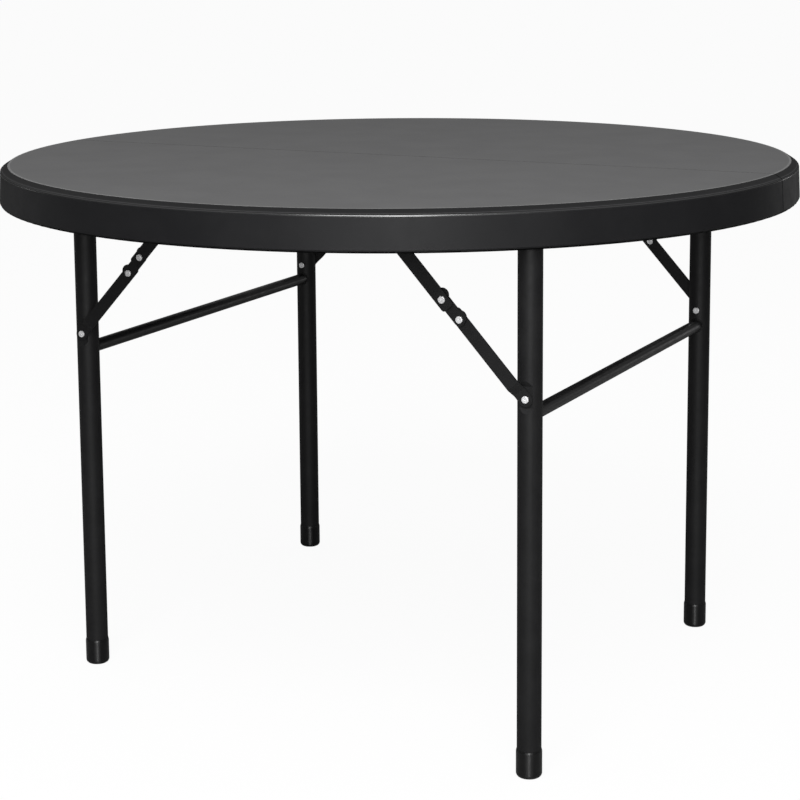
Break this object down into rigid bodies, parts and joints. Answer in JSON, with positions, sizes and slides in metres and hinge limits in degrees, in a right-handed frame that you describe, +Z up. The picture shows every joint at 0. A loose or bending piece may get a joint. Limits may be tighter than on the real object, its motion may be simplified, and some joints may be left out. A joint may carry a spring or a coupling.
{
  "type": "round folding table",
  "caption": "Round table with a moulded two-piece top on two tubular leg frames that fold flat underneath, held open by knee braces.",
  "frame": {"origin": "on the floor, under the middle of the round top", "axes": "+Z up; +X along the seam of the top from the left leg frame to the right one; -Y is the front, nearest the camera of the picture"},
  "size_m": [1.15, 1.1498, 0.74],
  "materials": {
    "top_moulding": "dark grey moulded top with a fine matte grain and a satin skirt",
    "black_enamel": "satin black powder coat",
    "foot_moulding": "glossy black moulded cap",
    "zinc_plate": "bright zinc plate",
    "washer_moulding": "natural nylon"
  },
  "bodies": {
    "top": {"front_top_panel": "top_moulding", "back_top_panel": "top_moulding", "left_cross_rail": "black_enamel", "right_cross_rail": "black_enamel", "bracket_screws": "zinc_plate", "rail_screws": "zinc_plate", "seam_bolts": "zinc_plate", "seam_nuts": "zinc_plate", "brace_top_rivets": "zinc_plate", "leg_pivot_bolts": "zinc_plate", "leg_pivot_nuts": "zinc_plate", "leg_pivot_washers": "washer_moulding", "front_left_leg_bracket": "black_enamel", "front_left_brace_bracket": "black_enamel", "back_left_leg_bracket": "black_enamel", "back_left_brace_bracket": "black_enamel", "front_right_leg_bracket": "black_enamel", "front_right_brace_bracket": "black_enamel", "back_right_leg_bracket": "black_enamel", "back_right_brace_bracket": "black_enamel"},
    "left_leg_frame": {"left_crossbar": "black_enamel", "left_leg_rivets": "zinc_plate", "front_left_leg": "black_enamel", "front_left_foot": "foot_moulding", "back_left_leg": "black_enamel", "back_left_foot": "foot_moulding"},
    "right_leg_frame": {"right_crossbar": "black_enamel", "right_leg_rivets": "zinc_plate", "front_right_leg": "black_enamel", "front_right_foot": "foot_moulding", "back_right_leg": "black_enamel", "back_right_foot": "foot_moulding"},
    "front_left_lower_bar": {"front_left_brace_lower_bar": "black_enamel", "front_left_lower_knee_rivet": "zinc_plate"},
    "front_left_knee_link": {"front_left_knee_link": "black_enamel", "front_left_upper_knee_rivet_tail": "zinc_plate"},
    "front_left_upper_bar": {"front_left_brace_upper_bar": "black_enamel", "front_left_upper_knee_rivet": "zinc_plate"},
    "back_left_lower_bar": {"back_left_brace_lower_bar": "black_enamel", "back_left_lower_knee_rivet": "zinc_plate"},
    "back_left_knee_link": {"back_left_knee_link": "black_enamel", "back_left_upper_knee_rivet_tail": "zinc_plate"},
    "back_left_upper_bar": {"back_left_brace_upper_bar": "black_enamel", "back_left_upper_knee_rivet": "zinc_plate"},
    "front_right_lower_bar": {"front_right_brace_lower_bar": "black_enamel", "front_right_lower_knee_rivet": "zinc_plate"},
    "front_right_knee_link": {"front_right_knee_link": "black_enamel", "front_right_upper_knee_rivet_tail": "zinc_plate"},
    "front_right_upper_bar": {"front_right_brace_upper_bar": "black_enamel", "front_right_upper_knee_rivet": "zinc_plate"},
    "back_right_lower_bar": {"back_right_brace_lower_bar": "black_enamel", "back_right_lower_knee_rivet": "zinc_plate"},
    "back_right_knee_link": {"back_right_knee_link": "black_enamel", "back_right_upper_knee_rivet_tail": "zinc_plate"},
    "back_right_upper_bar": {"back_right_brace_upper_bar": "black_enamel", "back_right_upper_knee_rivet": "zinc_plate"}
  },
  "joints": [
    {"name": "left_frame_fold", "type": "hinge", "parent": "top", "child": "left_leg_frame", "pos_m": [-0.37198, 0.065, 0.67753], "axis": [0, -1, 0], "range_deg": [0, 90]},
    {"name": "right_frame_fold", "type": "hinge", "parent": "top", "child": "right_leg_frame", "pos_m": [0.37198, -0.065, 0.704], "axis": [0, 1, 0], "range_deg": [0, 90]},
    {"name": "front_left_brace_swing", "type": "hinge", "parent": "left_leg_frame", "child": "front_left_lower_bar", "pos_m": [-0.37198, -0.286, 0.49599], "axis": [0, -1, 0], "range_deg": [0, 43.82]},
    {"name": "front_left_knee", "type": "hinge", "parent": "front_left_lower_bar", "child": "front_left_knee_link", "pos_m": [-0.28567, -0.286, 0.59118], "axis": [0, -1, 0], "range_deg": [-122.6, 0]},
    {"name": "front_left_brace_top_pivot", "type": "hinge", "parent": "top", "child": "front_left_upper_bar", "pos_m": [-0.18491, -0.286, 0.7023], "axis": [0, -1, 0], "range_deg": [-47.85, 0]},
    {"name": "back_left_brace_swing", "type": "hinge", "parent": "left_leg_frame", "child": "back_left_lower_bar", "pos_m": [-0.37198, 0.416, 0.49599], "axis": [0, -1, 0], "range_deg": [0, 43.82]},
    {"name": "back_left_knee", "type": "hinge", "parent": "back_left_lower_bar", "child": "back_left_knee_link", "pos_m": [-0.28567, 0.416, 0.59118], "axis": [0, -1, 0], "range_deg": [-122.6, 0]},
    {"name": "back_left_brace_top_pivot", "type": "hinge", "parent": "top", "child": "back_left_upper_bar", "pos_m": [-0.18491, 0.416, 0.7023], "axis": [0, -1, 0], "range_deg": [-47.85, 0]},
    {"name": "front_right_brace_swing", "type": "hinge", "parent": "right_leg_frame", "child": "front_right_lower_bar", "pos_m": [0.37198, -0.416, 0.49599], "axis": [0, 1, 0], "range_deg": [0, 56.59]},
    {"name": "front_right_knee", "type": "hinge", "parent": "front_right_lower_bar", "child": "front_right_knee_link", "pos_m": [0.28567, -0.416, 0.59118], "axis": [0, 1, 0], "range_deg": [-80.35, 0]},
    {"name": "front_right_brace_top_pivot", "type": "hinge", "parent": "top", "child": "front_right_upper_bar", "pos_m": [0.18491, -0.416, 0.7023], "axis": [0, 1, 0], "range_deg": [-47.85, 0]},
    {"name": "back_right_brace_swing", "type": "hinge", "parent": "right_leg_frame", "child": "back_right_lower_bar", "pos_m": [0.37198, 0.286, 0.49599], "axis": [0, 1, 0], "range_deg": [0, 56.59]},
    {"name": "back_right_knee", "type": "hinge", "parent": "back_right_lower_bar", "child": "back_right_knee_link", "pos_m": [0.28567, 0.286, 0.59118], "axis": [0, 1, 0], "range_deg": [-80.35, 0]},
    {"name": "back_right_brace_top_pivot", "type": "hinge", "parent": "top", "child": "back_right_upper_bar", "pos_m": [0.18491, 0.286, 0.7023], "axis": [0, 1, 0], "range_deg": [-47.85, 0]}
  ],
  "couplings": [
    {"joint": "front_left_brace_swing", "follows": "left_frame_fold", "ratio": 0.48632},
    {"joint": "front_left_knee", "follows": "left_frame_fold", "ratio": -1.3617},
    {"joint": "front_left_brace_top_pivot", "follows": "left_frame_fold", "ratio": -0.53111},
    {"joint": "back_left_brace_swing", "follows": "left_frame_fold", "ratio": 0.48632},
    {"joint": "back_left_knee", "follows": "left_frame_fold", "ratio": -1.3617},
    {"joint": "back_left_brace_top_pivot", "follows": "left_frame_fold", "ratio": -0.53111},
    {"joint": "front_right_brace_swing", "follows": "right_frame_fold", "ratio": 0.62827},
    {"joint": "front_right_knee", "follows": "right_frame_fold", "ratio": -0.89221},
    {"joint": "front_right_brace_top_pivot", "follows": "right_frame_fold", "ratio": -0.53111},
    {"joint": "back_right_brace_swing", "follows": "right_frame_fold", "ratio": 0.62827},
    {"joint": "back_right_knee", "follows": "right_frame_fold", "ratio": -0.89221},
    {"joint": "back_right_brace_top_pivot", "follows": "right_frame_fold", "ratio": -0.53111}
  ]
}
